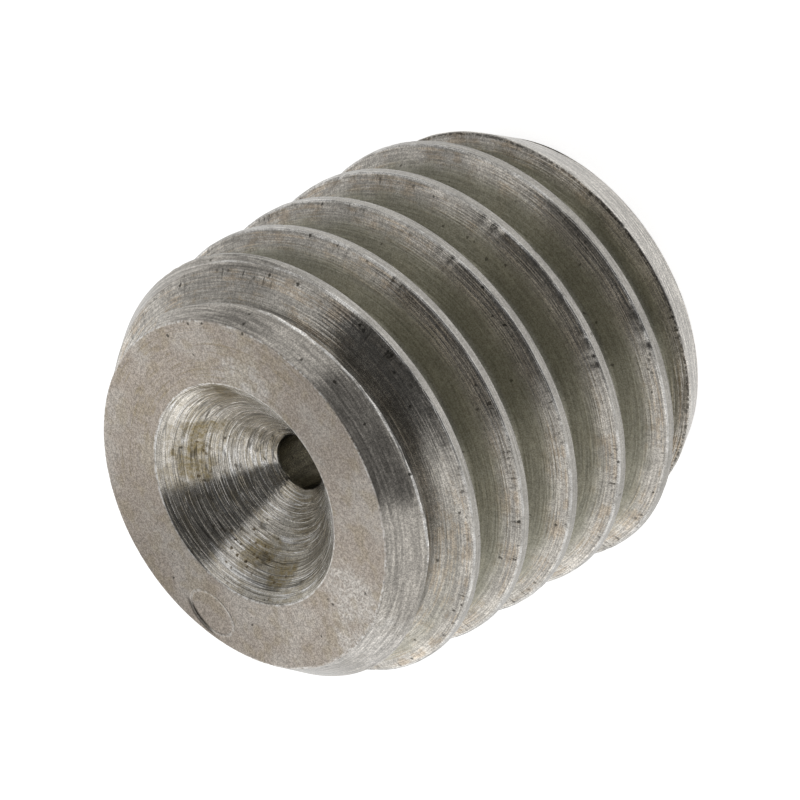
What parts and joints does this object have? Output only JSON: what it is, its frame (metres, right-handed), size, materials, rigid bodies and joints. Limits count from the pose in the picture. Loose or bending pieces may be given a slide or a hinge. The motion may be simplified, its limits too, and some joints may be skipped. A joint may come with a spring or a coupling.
{
  "type": "orifice restrictor screw",
  "caption": "Headless threaded plug with a countersunk calibrated orifice in one face and a hexagon drive socket in the other.",
  "frame": {"origin": "centre of the socket end, which the screw stands on", "axes": "+Z along the axis towards the countersunk face, -Y towards the viewer"},
  "size_m": [0.008, 0.008, 0.008],
  "materials": {
    "steel": "bare turned stainless steel with fine circular tool marks, a slightly matt end face, light stains in the countersink"
  },
  "bodies": {
    "root": {"restrictor_screw": "steel"}
  },
  "joints": []
}
